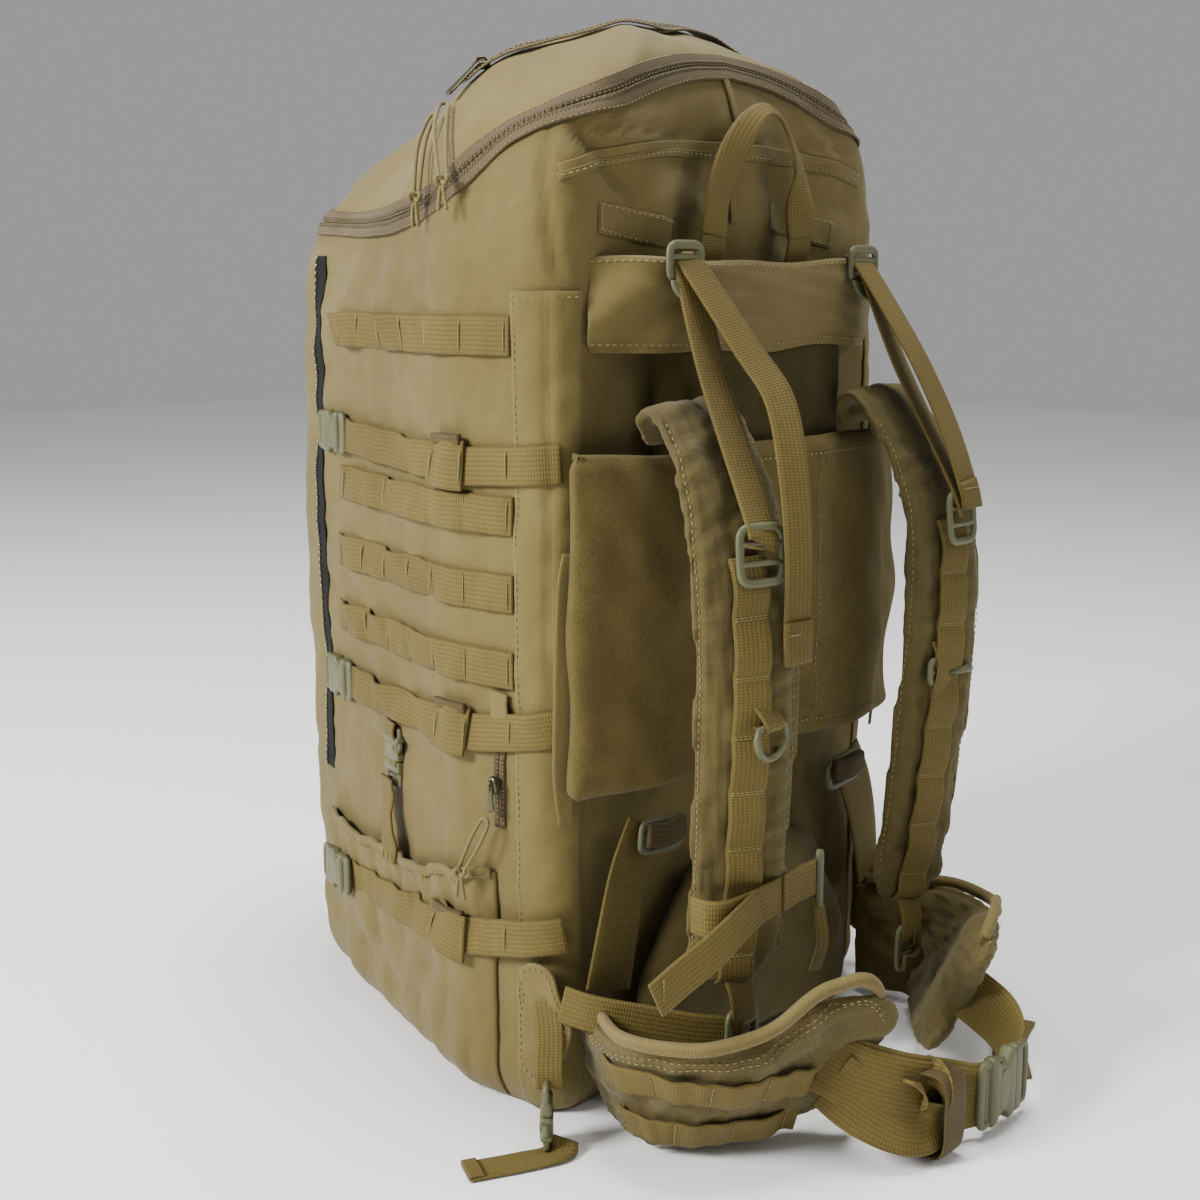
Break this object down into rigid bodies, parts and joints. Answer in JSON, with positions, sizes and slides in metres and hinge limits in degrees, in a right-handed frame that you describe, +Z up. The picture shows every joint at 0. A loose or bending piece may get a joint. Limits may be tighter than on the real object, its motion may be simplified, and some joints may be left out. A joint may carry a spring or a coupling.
{
  "type": "hunting backpack",
  "caption": "Large framed pack with a hinged zip lid, webbing rows, side compression straps, padded shoulder straps and a padded hip belt.",
  "frame": {"origin": "on the floor under the middle of the bag's base, where the pack stands", "axes": "+Z up the bag, -Y the harness side that faces the wearer's back, +X to the right seen from the harness side"},
  "size_m": [0.538, 0.5959, 0.742],
  "materials": {
    "cloth": "woven nylon",
    "webbing": "woven webbing",
    "suede": "brushed suede",
    "foam_cloth": "padded woven nylon",
    "zip_tape": "woven tape with moulded coil",
    "plastic": "moulded, satin",
    "slider_metal": "painted die cast",
    "sheet_plastic": "moulded sheet",
    "stay_metal": "drawn bar",
    "cordage": "braided cord"
  },
  "bodies": {
    "bag": {"bag_shell": "cloth", "frame_sheet": "sheet_plastic", "frame_stays": "stay_metal", "side_bindings": "cloth", "pals_rows": "webbing", "body_zips": "zip_tape", "main_zip": "zip_tape", "side_pocket_left": "cloth", "side_pocket_right": "cloth", "compression_straps_left": "webbing", "compression_straps_right": "webbing", "strap_keepers": "webbing", "compression_sockets": "plastic", "pocket_straps": "webbing", "pocket_sockets": "plastic", "back_pad": "foam_cloth", "top_band": "cloth", "yoke_sleeve": "suede", "lumbar_pad": "foam_cloth", "shoulder_pad_left": "foam_cloth", "shoulder_pad_right": "foam_cloth", "shoulder_webbing_left": "webbing", "shoulder_webbing_right": "webbing", "lifter_buckles": "plastic", "shoulder_ladder_locks": "plastic", "load_lifter_left": "webbing", "load_lifter_right": "webbing", "sternum_webbing": "webbing", "sternum_hardware": "plastic", "lower_ladder_locks": "plastic", "yoke_ladder_locks": "plastic", "yoke_straps": "webbing", "lower_webbing": "webbing", "corner_wings": "cloth", "corner_sockets": "plastic", "corner_straps": "webbing", "hip_wing_left": "foam_cloth", "hip_wing_right": "foam_cloth", "belt_webbing_left": "webbing", "belt_webbing_right": "webbing", "waist_socket": "plastic"},
    "lid": {"lid_shell": "cloth", "lid_zip": "zip_tape"},
    "lid_slider": {"lid_slider": "slider_metal", "lid_pull_cord_a": "cordage", "lid_pull_cord_b": "cordage", "lid_pull_knots": "cordage"},
    "side_slider": {"side_slider": "slider_metal", "side_pull_cord": "cordage", "side_pull_knot": "cordage"},
    "grab_handle": {"grab_handle": "webbing"},
    "d_ring": {"d_ring": "plastic"},
    "waist_plug": {"waist_plug": "plastic"},
    "upper_plug": {"upper_plug": "plastic"},
    "middle_plug": {"middle_plug": "plastic"},
    "lower_plug": {"lower_plug": "plastic"},
    "corner_plug_left": {"corner_plug_left": "plastic"},
    "corner_plug_right": {"corner_plug_right": "plastic"},
    "pocket_plug_left": {"pocket_plug_left": "plastic"},
    "pocket_plug_right": {"pocket_plug_right": "plastic"}
  },
  "joints": [
    {"name": "lid_hinge", "type": "hinge", "parent": "bag", "child": "lid", "pos_m": [0, 0.2478, 0.6125], "axis": [-1, 0, 0], "range_deg": [0, 110]},
    {"name": "lid_slider_slide", "type": "slide", "parent": "lid", "child": "lid_slider", "axis": [0.5, 0, 0.866], "range_m": [0, 0.004]},
    {"name": "side_slider_slide", "type": "slide", "parent": "bag", "child": "side_slider", "axis": [0, 0, 1], "range_m": [-0.015, 0.012]},
    {"name": "handle_hinge", "type": "hinge", "parent": "bag", "child": "grab_handle", "pos_m": [0, -0.136, 0.59], "axis": [1, 0, 0], "range_deg": [0, 80]},
    {"name": "d_ring_hinge", "type": "hinge", "parent": "bag", "child": "d_ring", "pos_m": [-0.108, -0.237, 0.289], "axis": [-1, 0, 0], "range_deg": [0, 100]},
    {"name": "waist_plug_slide", "type": "slide", "parent": "bag", "child": "waist_plug", "axis": [1, 0, 0], "range_m": [0, 0.034]},
    {"name": "upper_plug_slide", "type": "slide", "parent": "bag", "child": "upper_plug", "axis": [0.2988, 0.9543, 0], "range_m": [0, 0.032]},
    {"name": "middle_plug_slide", "type": "slide", "parent": "bag", "child": "middle_plug", "axis": [0.2988, 0.9543, 0], "range_m": [0, 0.032]},
    {"name": "lower_plug_slide", "type": "slide", "parent": "bag", "child": "lower_plug", "axis": [0.2988, 0.9543, 0], "range_m": [0, 0.032]},
    {"name": "corner_plug_left_slide", "type": "slide", "parent": "bag", "child": "corner_plug_left", "axis": [0, 0, 1], "range_m": [0, 0.025]},
    {"name": "pocket_plug_left_slide", "type": "slide", "parent": "bag", "child": "pocket_plug_left", "axis": [0, 0, -1], "range_m": [0, 0.022]},
    {"name": "corner_plug_right_slide", "type": "slide", "parent": "bag", "child": "corner_plug_right", "axis": [0, 0, 1], "range_m": [0, 0.025]},
    {"name": "pocket_plug_right_slide", "type": "slide", "parent": "bag", "child": "pocket_plug_right", "axis": [0, 0, -1], "range_m": [0, 0.022]}
  ]
}
